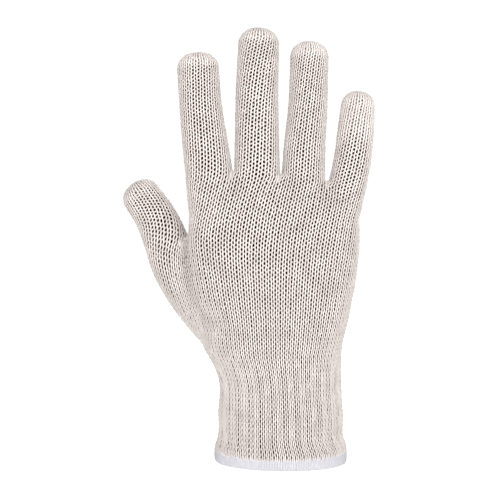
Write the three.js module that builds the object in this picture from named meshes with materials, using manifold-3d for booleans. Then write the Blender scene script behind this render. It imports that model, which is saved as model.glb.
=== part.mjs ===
// A string knit liner glove for the right hand, in millimetres, with +Z up towards the fingertips.
// The back of the hand faces -Y, the palm +Y, and the thumb is on the -X side.
// The origin is the middle of the wrist opening, in the plane of the hem's lower edge.

import * as THREE from 'three';
import { mergeVertices } from 'three/addons/utils/BufferGeometryUtils.js';
import Module from 'manifold-3d';

// Driving dimensions
const KNIT_WALL = 2.0; // thickness of the loop-faced knit
const CUFF_WALL = 2.2; // the ribbed wrist is a little thicker
const SEAM_GAP = 0.3; // clearance between two pieces that are knitted on to each other
const HEM_HEIGHT = 5.6;
const HEM_THICKNESS = 3.4;
const CUFF_TOP = 66; // height where the ribs end and the palm begins
const RIB_COUNT = 28;
const RIB_DEPTH = 0.7; // from the top of a rib to the bottom of the groove beside it

// Roundness of a section: 2 is an ellipse, and more is squarer
const PALM_SQUARENESS = 2.5;
const LIMB_SQUARENESS = 2.15;
const WRIST_SQUARENESS = 2.0;

// Sides of each ring of points
const PALM_SIDES = 36;
const LIMB_SIDES = 18;

// A knitted fingertip closes on a short line from side to side, like a bag
const TIP_RINGS = 3;
const TIP_LINE_ANGLE = THREE.MathUtils.degToRad(44); // the line is cos of this times the finger's width

// Finger sections from root to tip: the centre, and the outside width and depth across it.
// The last row is where the tip starts to close, and tipHeight is the height of the tip above it.
// The stall, which is the part that is free of the palm, starts at seamHeight on the centre line.
const FINGERS = {
  index: {
    seamHeight: 161.5,
    tipHeight: 9.6,
    rows: [
      { z: 143, x: -37.9, y: -1.2, width: 25.8, depth: 23.0 },
      { z: 160, x: -39.1, y: -1.0, width: 25.2, depth: 22.6 },
      { z: 176, x: -40.5, y: -0.4, width: 24.4, depth: 22.0 },
      { z: 196, x: -43.0, y: 1.6, width: 23.0, depth: 21.4 },
      { z: 218, x: -45.2, y: 5.4, width: 22.2, depth: 20.0 },
    ],
  },
  middle: {
    seamHeight: 161.0,
    tipHeight: 10.6,
    rows: [
      { z: 143, x: -12.7, y: -2.0, width: 26.8, depth: 24.0 },
      { z: 160, x: -12.8, y: -1.6, width: 26.0, depth: 23.4 },
      { z: 178, x: -12.9, y: -0.8, width: 25.0, depth: 22.8 },
      { z: 204, x: -12.9, y: 1.8, width: 23.0, depth: 21.8 },
      { z: 231, x: -12.1, y: 6.4, width: 22.1, depth: 20.6 },
    ],
  },
  ring: {
    seamHeight: 157.5,
    tipHeight: 10.0,
    rows: [
      { z: 141, x: 12.4, y: -1.4, width: 24.4, depth: 22.6 },
      { z: 157, x: 12.8, y: -1.0, width: 23.8, depth: 22.0 },
      { z: 174, x: 13.2, y: -0.2, width: 23.4, depth: 21.6 },
      { z: 198, x: 14.8, y: 2.4, width: 22.0, depth: 20.8 },
      { z: 224, x: 16.0, y: 7.0, width: 20.8, depth: 19.4 },
    ],
  },
  little: {
    seamHeight: 153.0,
    tipHeight: 8.6,
    rows: [
      { z: 137, x: 33.8, y: 0.4, width: 23.0, depth: 21.0 },
      { z: 153, x: 36.2, y: 0.8, width: 21.4, depth: 20.2 },
      { z: 170, x: 39.6, y: 1.6, width: 20.2, depth: 19.2 },
      { z: 184, x: 41.3, y: 3.4, width: 19.0, depth: 18.2 },
      { z: 197.6, x: 42.6, y: 6.2, width: 17.5, depth: 17.0 },
    ],
  },
};

// The thumb's sections run from inside the wrist, along the ball of the thumb, to its tip
const THUMB = {
  seamHeight: 121.0,
  tipHeight: 10.4,
  rows: [
    { z: 58, x: -23.0, y: 0.0, width: 18.0, depth: 18.0 },
    { z: 70, x: -31.6, y: 3.4, width: 22.4, depth: 23.0 },
    { z: 84, x: -42.2, y: 8.0, width: 26.5, depth: 26.6 },
    { z: 98, x: -53.0, y: 11.6, width: 27.9, depth: 27.0 },
    { z: 111, x: -59.2, y: 14.0, width: 26.0, depth: 25.0 },
    { z: 122, x: -63.8, y: 15.8, width: 25.0, depth: 23.6 },
    { z: 134, x: -69.2, y: 18.0, width: 23.2, depth: 22.0 },
    { z: 147, x: -77.6, y: 20.6, width: 21.0, depth: 20.0 },
  ],
};

// Palm sections from the ribs to the knuckles. tilt leans the section down towards the little finger.
const PALM_ROWS = [
  { z: CUFF_TOP + SEAM_GAP, x: -3.8, y: 0.2, width: 75.4, depth: 47.6, tilt: 0 },
  { z: 79, x: -2.4, y: 0.4, width: 79.2, depth: 45.6, tilt: 0 },
  { z: 93, x: -4.6, y: 0.2, width: 88.8, depth: 43.0, tilt: 0 },
  { z: 109, x: -5.0, y: -0.4, width: 94.0, depth: 39.6, tilt: 1 },
  { z: 126, x: -4.3, y: -1.0, width: 94.6, depth: 36.0, tilt: 2 },
  { z: 141, x: -3.7, y: -1.6, width: 95.4, depth: 31.0, tilt: 4 },
  { z: 149.5, x: -2.4, y: -1.4, width: 98.4, depth: 25.4, tilt: 5.5 },
  { z: 154.5, x: -2.4, y: -1.2, width: 93.0, depth: 17.0, tilt: 5.5 },
];

// Wrist sections from the hem to the palm. ribs is the share of the full rib depth there.
const CUFF_ROWS = [
  { z: HEM_HEIGHT + SEAM_GAP, x: 0.2, y: 0, width: 73.4, depth: 50.4, ribs: 0.4 },
  { z: 9, x: 0.2, y: 0, width: 73.2, depth: 50.0, ribs: 0.7 },
  { z: 13, x: 0.3, y: 0, width: 69.4, depth: 46.8, ribs: 1 },
  { z: 27, x: 0.4, y: 0, width: 67.6, depth: 45.2, ribs: 1 },
  { z: 49, x: -0.4, y: 0, width: 66.8, depth: 45.0, ribs: 1 },
  { z: 57, x: -2.1, y: 0.1, width: 70.4, depth: 45.8, ribs: 0.9 },
  { z: CUFF_TOP, x: -3.8, y: 0.2, width: 75.4, depth: 47.6, ribs: 0.4 },
];

// The hem is a rounded band round the wrist's lower edge
const HEM_WIDTH = 73.6;
const HEM_DEPTH = 50.6;
const HEM_SIDES = 40;
const HEM_CORNERS = 8;
const HEM_SQUARENESS = 3;

const NO_AREA = 1e-6; // square millimetres, below which a triangle is left out

// Unbleached cotton and polyester string, and the whiter thread of the hem, both matt
const STRING_CREAM = 0xded4ce;
const HEM_WHITE = 0xe9e9ee;
const YARN_ROUGHNESS = 0.92;

const wasm = await Module();
wasm.setup();

// A point of a rounded section at the given angle, for half sizes of 1
function unitPoint(angle, squareness) {
  const power = 2 / squareness;
  const across = Math.sign(Math.cos(angle)) * Math.abs(Math.cos(angle)) ** power;
  const deep = Math.sign(Math.sin(angle)) * Math.abs(Math.sin(angle)) ** power;
  return { across, deep };
}

// A ring of points round a section, in a plane whose side direction leans down by tilt degrees
function sectionRing(section, sides, squareness) {
  const lean = THREE.MathUtils.degToRad(section.tilt ?? 0);
  const side = new THREE.Vector3(Math.cos(lean), 0, -Math.sin(lean));
  return Array.from({ length: sides }, (_, i) => {
    const { across, deep } = unitPoint((2 * Math.PI * i) / sides, squareness);
    return new THREE.Vector3(section.x, section.y, section.z)
      .addScaledVector(side, (across * section.width) / 2)
      .add(new THREE.Vector3(0, (deep * section.depth) / 2, 0));
  });
}

// The direction of a limb's centre line at a row, from the rows beside it
function rowDirection(rows, i) {
  const before = rows[Math.max(i - 1, 0)];
  const after = rows[Math.min(i + 1, rows.length - 1)];
  return new THREE.Vector3(after.x - before.x, after.y - before.y, after.z - before.z).normalize();
}

// A limb's section has its side direction square to the centre line, as the courses of a knitted tube lie
function limbFrame(rows, i) {
  const along = rowDirection(rows, i);
  const side = new THREE.Vector3(0, 1, 0).cross(along).normalize();
  const deep = along.clone().cross(side);
  return { along, side, deep };
}

// Rings of a finger or thumb, with the wall's thickness taken off the outside sizes by inset
function limbRings(limb, inset) {
  const place = (row, frame, across, deep, up) =>
    new THREE.Vector3(row.x, row.y, row.z)
      .addScaledVector(frame.side, across * (row.width / 2 - inset))
      .addScaledVector(frame.deep, deep * (row.depth / 2 - inset))
      .addScaledVector(frame.along, up);
  const angles = Array.from({ length: LIMB_SIDES }, (_, i) => (2 * Math.PI * i) / LIMB_SIDES);
  const rings = limb.rows.map((row, i) => {
    const frame = limbFrame(limb.rows, i);
    return angles.map((angle) => {
      const { across, deep } = unitPoint(angle, LIMB_SQUARENESS);
      return place(row, frame, across, deep, 0);
    });
  });
  const last = limb.rows.length - 1;
  const frame = limbFrame(limb.rows, last);
  for (let step = 1; step <= TIP_RINGS; step += 1) {
    const share = step / TIP_RINGS;
    const sideScale = Math.cos(TIP_LINE_ANGLE * share);
    const deepScale = step === TIP_RINGS ? 0 : Math.cos((Math.PI / 2) * share);
    rings.push(
      angles.map((angle) => {
        const { across, deep } = unitPoint(angle, LIMB_SQUARENESS);
        const x = across * sideScale;
        const y = deep * deepScale;
        const left = 1 - Math.abs(x) ** LIMB_SQUARENESS - Math.abs(y) ** LIMB_SQUARENESS;
        const up = (limb.tipHeight - inset) * Math.max(left, 0) ** (1 / LIMB_SQUARENESS);
        return place(limb.rows[last], frame, x, y, up);
      }),
    );
  }
  return rings;
}

// Triangles between two rings that run the same way round, the first one below
function joinRings(rings, below, above, triangles) {
  const sides = rings[below].length;
  for (let i = 0; i < sides; i += 1) {
    const next = (i + 1) % sides;
    const [a, b] = [below * sides + i, below * sides + next];
    const [c, d] = [above * sides + next, above * sides + i];
    triangles.push([a, b, c], [a, c, d]);
  }
}

// A closed geometry from rings and triangles, without the triangles that have no area
function closedGeometry(points, triangles) {
  const full = triangles.filter(([a, b, c]) => {
    const edge = points[b].clone().sub(points[a]);
    return edge.cross(points[c].clone().sub(points[a])).length() > NO_AREA;
  });
  const geometry = new THREE.BufferGeometry();
  const coordinates = points.flatMap((point) => point.toArray());
  geometry.setAttribute('position', new THREE.Float32BufferAttribute(coordinates, 3));
  geometry.setIndex(full.flat());
  return mergeVertices(geometry);
}

// A solid through rings from bottom to top. Its ends are flat fans, and a tip that has closed needs none.
function loftGeometry(rings, closedTop) {
  const sides = rings[0].length;
  const points = rings.flat();
  const triangles = [];
  for (let i = 0; i + 1 < rings.length; i += 1) {
    joinRings(rings, i, i + 1, triangles);
  }
  const centre = (ring) => ring.reduce((sum, p) => sum.add(p), new THREE.Vector3()).divideScalar(sides);
  points.push(centre(rings[0]));
  const bottom = points.length - 1;
  for (let i = 0; i < sides; i += 1) {
    triangles.push([bottom, (i + 1) % sides, i]);
  }
  if (!closedTop) {
    points.push(centre(rings.at(-1)));
    const top = points.length - 1;
    const start = (rings.length - 1) * sides;
    for (let i = 0; i < sides; i += 1) {
      triangles.push([top, start + i, start + ((i + 1) % sides)]);
    }
  }
  return closedGeometry(points, triangles);
}

// A sleeve through rings that go up the outside and down the inside, closed on itself
function sleeveGeometry(rings) {
  const triangles = [];
  rings.forEach((_, i) => joinRings(rings, i, (i + 1) % rings.length, triangles));
  return closedGeometry(rings.flat(), triangles);
}

function toSolid(geometry) {
  const plain = geometry.clone();
  plain.deleteAttribute('normal');
  plain.deleteAttribute('uv');
  const merged = mergeVertices(plain);
  return new wasm.Manifold(
    new wasm.Mesh({
      numProp: 3,
      vertProperties: new Float32Array(merged.attributes.position.array),
      triVerts: new Uint32Array(merged.index.array),
    }),
  );
}

function toGeometry(solid) {
  const { vertProperties, triVerts } = solid.getMesh();
  const geometry = new THREE.BufferGeometry();
  geometry.setAttribute('position', new THREE.BufferAttribute(vertProperties, 3));
  geometry.setIndex(new THREE.BufferAttribute(triVerts, 1));
  geometry.computeVertexNormals();
  return geometry;
}

// The centre line's point and direction where it passes a height
function pointOnLimb(limb, height) {
  const upper = limb.rows.findIndex((row) => row.z > height);
  const [a, b] = [limb.rows[upper - 1], limb.rows[upper]];
  const from = new THREE.Vector3(a.x, a.y, a.z);
  const to = new THREE.Vector3(b.x, b.y, b.z);
  const point = from.clone().lerp(to, (height - a.z) / (b.z - a.z));
  return { point, along: to.sub(from).normalize() };
}

// A block that holds all of a limb beyond its seam, starting offset past the seam along the limb
function beyondSeam(limb, offset) {
  const block = { across: 60, deep: 80, long: 140 };
  const { point, along } = pointOnLimb(limb, limb.seamHeight);
  const side = new THREE.Vector3(0, 1, 0).cross(along).normalize();
  const geometry = new THREE.BoxGeometry(block.across, block.deep, block.long);
  geometry.applyMatrix4(new THREE.Matrix4().makeBasis(side, along.clone().cross(side), along));
  const centre = point.addScaledVector(along, offset + block.long / 2);
  geometry.translate(centre.x, centre.y, centre.z);
  return toSolid(geometry);
}

const limbOuter = (limb) => toSolid(loftGeometry(limbRings(limb, 0), true));
const limbInner = (limb) => toSolid(loftGeometry(limbRings(lowerRoot(limb), KNIT_WALL), true));

// The hollow of a limb reaches a little lower than its skin, so that it opens into the palm
function lowerRoot(limb) {
  const [root, ...rest] = limb.rows;
  return { ...limb, rows: [{ ...root, z: root.z - KNIT_WALL }, ...rest] };
}

function palmSolid(inset, extraBelow, lessAbove) {
  const rows = PALM_ROWS.map((row, i) => ({
    ...row,
    z: row.z - (i === 0 ? extraBelow : 0) - (i === PALM_ROWS.length - 1 ? lessAbove : 0),
    width: row.width - 2 * inset,
    depth: row.depth - 2 * inset,
  }));
  const rings = rows.map((row) => sectionRing(row, PALM_SIDES, PALM_SQUARENESS));
  return toSolid(loftGeometry(rings, false));
}

// The thumb's rows start inside the wrist, and the part below the palm's lower edge is cut away
function belowPalm() {
  const block = { across: 400, deep: 400, high: 100 };
  const geometry = new THREE.BoxGeometry(block.across, block.deep, block.high);
  geometry.translate(0, 0, CUFF_TOP + SEAM_GAP - block.high / 2);
  return toSolid(geometry);
}

function palmBody() {
  const limbs = [...Object.values(FINGERS), THUMB];
  let skin = palmSolid(0, 0, 0);
  let hollow = palmSolid(KNIT_WALL, KNIT_WALL, KNIT_WALL);
  for (const limb of limbs) {
    skin = skin.add(limbOuter(limb).subtract(beyondSeam(limb, -SEAM_GAP / 2)));
    hollow = hollow.add(limbInner(limb));
  }
  return toGeometry(skin.subtract(hollow).subtract(belowPalm()));
}

function stall(limb) {
  const tube = limbOuter(limb).intersect(beyondSeam(limb, SEAM_GAP / 2));
  return toGeometry(tube.subtract(limbInner(limb)));
}

// Each rib has one point on its crest and one in its groove
function cuffRing(row, inset, ribbed) {
  const section = { ...row, width: row.width - 2 * inset, depth: row.depth - 2 * inset };
  const ring = sectionRing(section, 2 * RIB_COUNT, WRIST_SQUARENESS);
  const centre = new THREE.Vector3(row.x, row.y, row.z);
  const groove = ribbed ? RIB_DEPTH * row.ribs : 0;
  return ring.map((point, i) => {
    const inward = centre.clone().sub(point).normalize();
    return i % 2 === 0 ? point : point.clone().addScaledVector(inward, groove);
  });
}

function wristCuff() {
  const outside = CUFF_ROWS.map((row) => cuffRing(row, 0, true));
  const inside = CUFF_ROWS.map((row) => cuffRing(row, CUFF_WALL, false)).reverse();
  return sleeveGeometry([...outside, ...inside]);
}

function cuffHem() {
  const rings = Array.from({ length: HEM_CORNERS }, (_, i) => {
    const { across, deep } = unitPoint((2 * Math.PI * i) / HEM_CORNERS, HEM_SQUARENESS);
    const outward = (across * HEM_THICKNESS) / 2 - HEM_THICKNESS / 2;
    const section = {
      x: CUFF_ROWS[0].x,
      y: 0,
      z: HEM_HEIGHT / 2 + deep * (HEM_HEIGHT / 2),
      width: HEM_WIDTH + 2 * outward,
      depth: HEM_DEPTH + 2 * outward,
    };
    return sectionRing(section, HEM_SIDES, WRIST_SQUARENESS);
  });
  return sleeveGeometry(rings);
}

function yarn(color) {
  return new THREE.MeshStandardMaterial({ color, roughness: YARN_ROUGHNESS, metalness: 0 });
}

const PIECES = [
  { name: 'palm_body', geometry: palmBody(), color: STRING_CREAM },
  { name: 'index_stall', geometry: stall(FINGERS.index), color: STRING_CREAM },
  { name: 'middle_stall', geometry: stall(FINGERS.middle), color: STRING_CREAM },
  { name: 'ring_stall', geometry: stall(FINGERS.ring), color: STRING_CREAM },
  { name: 'little_stall', geometry: stall(FINGERS.little), color: STRING_CREAM },
  { name: 'thumb_stall', geometry: stall(THUMB), color: STRING_CREAM },
  { name: 'wrist_cuff', geometry: wristCuff(), color: STRING_CREAM },
  { name: 'cuff_hem', geometry: cuffHem(), color: HEM_WHITE },
];

const glove = new THREE.Group();
for (const { name, geometry, color } of PIECES) {
  const mesh = new THREE.Mesh(geometry, yarn(color));
  mesh.name = name;
  glove.add(mesh);
}

export default glove;
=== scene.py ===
"""A seamless string knit liner glove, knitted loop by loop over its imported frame.

Sizes in the tables are millimetres, as on a knitter's chart, and meshes are in metres. +Z points to the
fingertips, the back of the hand faces -Y and the thumb is on the -X side.
"""

import math
from functools import cache

import bpy
import numpy as np
from bpy.props import FloatProperty, FloatVectorProperty, PointerProperty
from bpy.types import Operator, Panel, PropertyGroup
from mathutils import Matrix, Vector
from mathutils.bvhtree import BVHTree


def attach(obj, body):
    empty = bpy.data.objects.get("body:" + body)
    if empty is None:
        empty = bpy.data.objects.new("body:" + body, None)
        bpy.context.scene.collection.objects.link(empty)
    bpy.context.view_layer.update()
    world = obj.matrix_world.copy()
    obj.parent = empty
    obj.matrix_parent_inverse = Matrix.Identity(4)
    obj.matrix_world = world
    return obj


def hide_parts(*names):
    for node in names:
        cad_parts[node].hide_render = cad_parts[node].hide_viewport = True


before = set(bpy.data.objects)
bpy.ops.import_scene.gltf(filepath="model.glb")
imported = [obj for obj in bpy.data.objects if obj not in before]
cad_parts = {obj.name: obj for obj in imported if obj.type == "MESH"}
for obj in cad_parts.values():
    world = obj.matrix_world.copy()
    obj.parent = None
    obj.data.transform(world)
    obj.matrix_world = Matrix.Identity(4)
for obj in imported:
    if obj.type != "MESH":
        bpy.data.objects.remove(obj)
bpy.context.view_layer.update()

bl_info = {
    "name": "String Knit Liner Glove",
    "version": (1, 0, 0),
    "blender": (4, 5, 0),
    "location": "3D View > Sidebar > Glove",
    "description": "Knits a seamless string glove, its ribbed wrist and its overlocked hem",
    "category": "Add Mesh",
}

MM = 0.001
FULL_TURN = 2 * math.pi
BODY = "root"
RANDOM_SEED = 11

# Roundness of a section: 2 is an ellipse, and more is squarer
LIMB_SQUARENESS = 2.15

# A knitted fingertip closes on a short line from side to side, like a bag
TIP_LINE_ANGLE = math.radians(44)

# Columns of loops round each tube. Every tube has as many on its front as on its back.
# The four fingers run on into the upper palm, which joins the thumb's to make the lower palm and the wrist.
# Where two tubes fork, two columns of each end on one another.
FINGERS = ("index", "middle", "ring", "little")
WALES = {"index": 22, "middle": 20, "ring": 22, "little": 18, "thumb": 18}
WALES_IN_A_FORK = 4
UPPER_WALES = sum(WALES[name] for name in FINGERS) - 3 * WALES_IN_A_FORK
LOWER_WALES = UPPER_WALES + WALES["thumb"] - WALES_IN_A_FORK
WALES_IN_A_RIB = 3

# Height of one row of loops, in millimetres
FINGER_COURSE = 2.05
PALM_COURSE = 2.4
CUFF_COURSE = 2.74

# The wales wind round the hand a little, as they do on every such glove, which puts the thumb's on the palm
# side. These are millimetres round the palm at the thumb's fork and at the wrist.
WINDING_AT_FORK = 8.0
WINDING_AT_WRIST = 18.0
THUMB_TURN = 2  # wales by which the thumb's fork lies behind the thumb's inner side
TWIST_LENGTH = 22.0  # the winding of a fingertip fades over this length below it
RELAX_STEP = 0.4  # share of the way that a loop moves in one round, small enough not to overshoot
RELAX_ROUNDS = 400
TIP_ROWS = 6  # rows of each tip that stay in place when the knit relaxes
OUTWARD_ROUNDS = 3  # rounds in which the directions outward even out

# How finely the form under the fabric is made: rings in a tip, millimetres between rings and points in each
TIP_RINGS = 24
LIMB_STEP = 2
LIMB_SIDES = 48
TRUNK_STEP = 1.5
TRUNK_SIDES = 96
MEASURING_SIDES = 720
SKIN_GRAIN = 0.9  # millimetres, grain of the skin that the parts grow into
SKIN_SOFTENING = 5  # rounds that soften the valleys between them
FAR_OUTSIDE = 40  # millimetres out from a place in the form that are sure to lie outside it

# Sections of each finger and the thumb from root to tip: z, x, y, width and depth. The last row is where the
# tip starts to close, tip is its height, and seam is where the tube joins the palm. The twist, in degrees, is
# how far the wales have wound round at the tip. The closed rows are those over the tip that nothing
# stretches: the string fills them down to the first number, and thins out to the second.
LIMBS = {
    "index": {
        "seam": 160.0, "tip": 9.2, "twist": 13, "closed_rows": (4.4, 6.2),
        "rows": (
            (130, -36.2, -1.2, 25.0, 22.8),
            (145, -38.0, -1.2, 25.6, 23.0),
            (160, -39.3, -1.0, 25.4, 22.6),
            (176, -41.4, -0.4, 24.4, 22.0),
            (196, -43.8, 1.6, 22.7, 21.4),
            (218, -45.5, 5.4, 22.3, 20.0),
        ),
    },
    "middle": {
        "seam": 159.5, "tip": 9.7, "twist": 33, "closed_rows": (4.2, 6.2),
        "rows": (
            (143, -12.8, -2.0, 26.2, 24.0),
            (160, -13.0, -1.6, 24.6, 23.4),
            (178, -13.1, -0.8, 23.6, 22.8),
            (204, -13.1, 1.8, 22.7, 21.8),
            (231, -12.2, 6.4, 21.8, 20.6),
        ),
    },
    "ring": {
        "seam": 156.5, "tip": 9.4, "twist": 26, "closed_rows": (4.6, 6.8),
        "rows": (
            (141, 12.4, -1.4, 24.4, 22.6),
            (157, 12.5, -1.0, 23.3, 22.0),
            (174, 13.0, -0.2, 22.2, 21.6),
            (198, 14.9, 2.4, 20.8, 20.4),
            (224, 15.8, 7.0, 20.3, 19.4),
        ),
    },
    "little": {
        "seam": 150.0, "tip": 8.5, "twist": 20, "closed_rows": (8.5, 18.0),
        "rows": (
            (127, 31.0, 0.0, 21.6, 21.6),
            (139, 33.0, 0.4, 20.8, 21.0),
            (153, 36.4, 0.8, 20.2, 20.2),
            (170, 39.7, 1.6, 19.8, 19.2),
            (184, 41.3, 3.4, 19.0, 18.2),
            (197.6, 42.6, 6.2, 17.5, 17.0),
        ),
    },
    "thumb": {
        "seam": 118.0, "tip": 9.1, "twist": -14, "closed_rows": (4.0, 6.0),
        "rows": (
            (58, -24.0, 0.0, 18.4, 18.0),
            (70, -31.9, 3.4, 22.6, 23.0),
            (84, -42.0, 8.0, 26.6, 26.6),
            (98, -52.5, 12.6, 27.0, 26.4),
            (111, -59.9, 15.6, 25.9, 24.4),
            (122, -64.1, 17.4, 24.6, 23.0),
            (134, -69.3, 19.2, 23.0, 21.8),
            (147, -77.8, 20.6, 21.0, 20.0),
        ),
    },
}

# Sections of the wrist and palm from the hem to the knuckles: z, x, y, width, depth, squareness and tilt.
# The tilt, in degrees, leans a section down towards the little finger.
TRUNK = (
    (5.9, 0.2, 0.0, 73.4, 50.4, 2.0, 0),
    (9, 0.2, 0.0, 73.2, 50.0, 2.0, 0),
    (13, 0.2, 0.0, 70.4, 46.8, 2.0, 0),
    (27, 0.2, 0.0, 69.2, 45.2, 2.0, 0),
    (49, -0.6, 0.0, 68.4, 45.0, 2.0, 0),
    (57, -2.3, 0.1, 71.8, 45.8, 2.1, 0),
    (66, -4.4, 0.2, 77.2, 47.6, 2.2, 0),
    (79, -2.4, 0.4, 79.2, 45.6, 2.4, 0),
    (93, -4.6, 0.2, 88.8, 43.0, 2.5, 0),
    (109, -4.5, -0.4, 93.0, 39.6, 2.5, 1),
    (126, -3.6, -1.0, 93.8, 36.0, 2.5, 2),
    (141, -3.5, -1.6, 93.6, 31.0, 2.5, 4),
    (149.5, -2.8, -1.4, 95.4, 25.4, 2.5, 5.5),
    (154.5, -2.4, -1.2, 93.0, 17.0, 2.5, 5.5),
)
CUFF_TOP = 66.0
CUFF_BOTTOM = 5.9
THUMB_FORK = 126.0  # height where the thumb's inner side leaves the palm


def srgb(hex_code):
    """A linear RGBA colour from an sRGB hex value such as "EDE4DC"."""
    channels = [int(hex_code[i:i + 2], 16) / 255 for i in (0, 2, 4)]
    linear = [c / 12.92 if c <= 0.04045 else ((c + 0.055) / 1.055) ** 2.4 for c in channels]
    return (*linear, 1.0)


WHITE = srgb("FFFFFF")


def colour_property(name, description, hex_code):
    """A colour that a user can change, with its default given in sRGB hex."""
    return FloatVectorProperty(
        name=name, description=description, subtype="COLOR", size=4, min=0, max=1, default=srgb(hex_code)
    )


def size_property(name, description, millimetres):
    """A length that a user can change, held in metres and given here in millimetres."""
    return FloatProperty(
        name=name, description=description, default=millimetres * MM, unit="LENGTH", precision=5
    )


def number_property(name, description, default, lowest=0, highest=100):
    """A share, a brightness or a light's power that a user can change."""
    return FloatProperty(name=name, description=description, default=default, min=lowest, max=highest)


class GloveKnit(PropertyGroup):
    """The string, and the loops that it is knitted in"""

    string_width: size_property("String width", "Greatest width of the string as it lies in the fabric", 1.35)
    string_share: number_property(
        "String share", "Width of the string, as a share of an evenly stretched wale's", 0.314, 0.1, 0.5
    )
    even_wale: size_property("Even wale", "Width of a wale that is neither stretched nor slack", 3.1)
    string_flatness: number_property(
        "String flatness", "Thickness of the string, as a share of its width", 0.9, 0.3, 1
    )
    loop_rise: size_property("Loop rise", "How far a loop's legs stand out, and its ends lie back", 0.42)
    loop_reach: number_property("Loop reach", "Half a loop's height, as a share of one row", 0.78, 0.5, 1.4)
    loop_swing: number_property(
        "Loop swing", "How far a loop's head bulges, as a share of its width", 0.14, 0, 0.3
    )
    loop_pinch: number_property(
        "Loop pinch", "How far each leg leans into its loop, as a share of its width", 0.02, 0, 0.1
    )
    unevenness: number_property("Unevenness", "How much loops differ, as a share of their size", 0.09, 0, 0.5)
    rib_depth: size_property("Rib depth", "Depth of the grooves between the ribs of the wrist", 0.16)
    string_colour: colour_property("String", "Unbleached cotton and polyester string", "FBF4EF")
    string_shade: colour_property("String shade", "The greyer fibres in the string", "E2DBD6")
    # Colour of the painted shadow seen through the gaps between the loops
    painted_shadow_colour: colour_property("Inside", "Shadow between the loops, where the inner face lies", "361F19")


class GloveHem(PropertyGroup):
    """The overlocked hem round the wrist opening"""

    thread_width: size_property("Thread width", "Width of one overlock stitch", 1.75)
    thread_depth: size_property("Thread depth", "Thickness of one overlock stitch", 0.6)
    thread_colour: colour_property("Thread", "Bleached polyester thread", "C0BFC4")


class GloveStage(PropertyGroup):
    """The camera, the lights and the floor"""

    camera_distance: size_property("Camera distance", "From the lens to the middle of the glove", 800)
    camera_tilt: FloatProperty(
        name="Camera tilt", description="How far the camera looks down", default=math.radians(5),
        subtype="ANGLE",
    )
    floor_drop: size_property("Floor drop", "How far the floor lies under the wrist opening", 45)
    key_strength: number_property("Key light", "Watts of the soft box in front", 14.6)
    fill_strength: number_property("Fill light", "Watts of the soft box behind", 6.0)
    surround: number_property("Surround", "Brightness of the white room", 1.22)
    ceiling: number_property("Ceiling", "Brightness of the room straight above", 0.5)
    backdrop: number_property("Backdrop", "Brightness of the room as the camera sees it", 1.05)
    left_wall: colour_property("Left wall", "Cool grey that shades the glove's -X edges", "4A4A5C")
    right_wall: colour_property("Right wall", "Warm grey that shades the glove's +X edges", "807A72")
    floor_colour: colour_property("Floor", "Matt white acrylic, softly lit from below", "F7F7F7")


def section_points(angles, squareness):
    """Across and deep places, for half sizes of 1, round a rounded section."""
    return [np.sign(side) * np.abs(side) ** (2 / squareness) for side in (np.cos(angles), np.sin(angles))]


def rows_at(table, heights):
    """The table's columns on a smooth curve through its rows, at the given heights."""
    table = np.array(table, float)
    z = table[:, 0]
    slope = np.gradient(table, z, axis=0)
    i = np.clip(np.searchsorted(z, heights, side="right") - 1, 0, len(z) - 2)
    step = (z[i + 1] - z[i])[:, None]
    t = ((heights - z[i]) / step[:, 0])[:, None]
    start = (2 * t**3 - 3 * t**2 + 1) * table[i] + (t**3 - 2 * t**2 + t) * step * slope[i]
    end = (3 * t**2 - 2 * t**3) * table[i + 1] + (t**3 - t**2) * step * slope[i + 1]
    return start + end


def unit(vectors):
    return vectors / np.maximum(np.linalg.norm(vectors, axis=-1, keepdims=True), 1e-9)


def line_through(points):
    """The length of a line through points, and a function for its places at some distances along it."""
    length = np.concatenate([[0], np.cumsum(np.linalg.norm(np.diff(points, axis=0), axis=1))])
    return length[-1], lambda at: np.stack([np.interp(at, length, axis) for axis in points.T], axis=1)


def front_first_angles(count):
    """Angles round a tube from its -X side, along the front to +X, and home along the back."""
    return math.pi + FULL_TURN * np.arange(count) / count


def limb_rings(limb, angles, lowest, twist=0.0):
    """Rings of a finger or thumb, from the line that its tip closes on down to the lowest height."""
    table = limb["rows"]
    top = table[-1][0]
    heights = np.linspace(top, lowest, max(int((top - lowest) / LIMB_STEP), 2))
    rows = rows_at(table, heights)
    centres = rows[:, [1, 2, 0]]
    along = unit(-np.gradient(centres, axis=0))
    side = unit(np.cross((0.0, 1.0, 0.0), along))
    deep = np.cross(along, side)
    wound = angles + math.radians(twist) * np.exp((heights[:, None] - top) / TWIST_LENGTH)
    x, y = section_points(wound, LIMB_SQUARENESS)
    body = (
        centres[:, None]
        + x[..., None] * side[:, None] * rows[:, None, 3:4] / 2
        + y[..., None] * deep[:, None] * rows[:, None, 4:5] / 2
    )
    x, y = x[0], y[0]
    half_turns = ((wound[0] - math.pi) % FULL_TURN) / math.pi
    even = np.where(half_turns < 1, 2 * half_turns - 1, 3 - 2 * half_turns)
    share = np.linspace(1, 0, TIP_RINGS, endpoint=False)[:, None]
    tip_x = ((1 - share) * x + share * even) * np.cos(TIP_LINE_ANGLE * share)
    tip_y = y * np.cos(math.pi / 2 * share)
    left = np.maximum(1 - np.abs(tip_x) ** LIMB_SQUARENESS - np.abs(tip_y) ** LIMB_SQUARENESS, 0)
    tip = (
        centres[0]
        + tip_x[..., None] * side[0] * rows[0, 3] / 2
        + tip_y[..., None] * deep[0] * rows[0, 4] / 2
        + left[..., None] ** (1 / LIMB_SQUARENESS) * along[0] * limb["tip"]
    )
    return np.concatenate([tip, body])


def trunk_ring(height, angles):
    """One ring of the wrist or palm."""
    row = rows_at(TRUNK, np.array([height]))[0]
    lean = math.radians(row[6])
    x, y = section_points(angles, row[5])
    side = np.array((math.cos(lean), 0, -math.sin(lean)))
    ring = row[[1, 2, 0]] + x[:, None] * side * row[3] / 2
    ring[:, 1] += y * row[4] / 2
    return ring


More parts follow.
